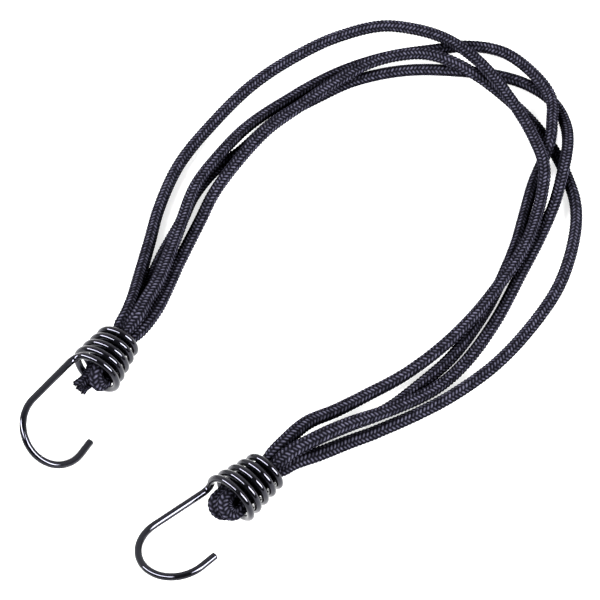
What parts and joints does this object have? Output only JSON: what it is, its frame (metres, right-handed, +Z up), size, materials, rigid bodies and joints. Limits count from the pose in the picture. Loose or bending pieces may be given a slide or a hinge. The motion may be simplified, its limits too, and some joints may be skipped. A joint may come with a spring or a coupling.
{
  "type": "multi-arm bungee strap",
  "caption": "Elastic luggage strap: one braided shock cord folded into parallel strands, gripped at each end by the flared coil of a spiral wire hook.",
  "frame": {"origin": "middle of the strap as it lies, on the surface it lies on", "axes": "+Z up from the surface, +Y from the hooks towards the turn of the loop, +X towards the right hook"},
  "size_m": [0.1783, 0.3046, 0.0237],
  "materials": {
    "hook_wire": "gloss black lacquer on steel wire",
    "braid": "matt black braided polyester with grey yarn highlights",
    "rubber_core": "matt natural latex threads"
  },
  "bodies": {
    "loop": {"strand_1_sheath": "braid", "strand_1_core": "rubber_core", "strand_2_sheath": "braid", "strand_2_core": "rubber_core", "strand_3_sheath": "braid", "strand_3_core": "rubber_core", "strand_4_sheath": "braid", "strand_4_core": "rubber_core"},
    "left_end": {"left_long_tail_sheath": "braid", "left_long_tail_core": "rubber_core", "left_fold_sheath": "braid", "left_fold_core": "rubber_core", "left_short_tail_sheath": "braid", "left_short_tail_core": "rubber_core"},
    "left_hook": {"left_hook": "hook_wire"},
    "right_end": {"right_fold_1_sheath": "braid", "right_fold_1_core": "rubber_core", "right_fold_2_sheath": "braid", "right_fold_2_core": "rubber_core"},
    "right_hook": {"right_hook": "hook_wire"}
  },
  "joints": [
    {"name": "left_pull", "type": "slide", "parent": "loop", "child": "left_end", "axis": [0, -1, 0], "range_m": [0, 0.25], "stiffness_N_per_m": 1000, "deforming": ["strand_1_sheath", "strand_1_core", "strand_2_sheath", "strand_2_core", "strand_3_sheath", "strand_3_core", "strand_4_sheath", "strand_4_core"]},
    {"name": "left_swivel", "type": "hinge", "parent": "left_end", "child": "left_hook", "pos_m": [-0.0339, -0.0954, 0.01177], "axis": [0.1563, -0.9867, 0.0436], "range_deg": [-180, 180]},
    {"name": "right_pull", "type": "slide", "parent": "loop", "child": "right_end", "axis": [0, -1, 0], "range_m": [0, 0.25], "stiffness_N_per_m": 1000, "deforming": ["strand_1_sheath", "strand_1_core", "strand_2_sheath", "strand_2_core", "strand_3_sheath", "strand_3_core", "strand_4_sheath", "strand_4_core"]},
    {"name": "right_swivel", "type": "hinge", "parent": "right_end", "child": "right_hook", "pos_m": [0.0467, -0.1064, 0.01165], "axis": [-0.1218, -0.9922, 0.0262], "range_deg": [-180, 180]}
  ]
}
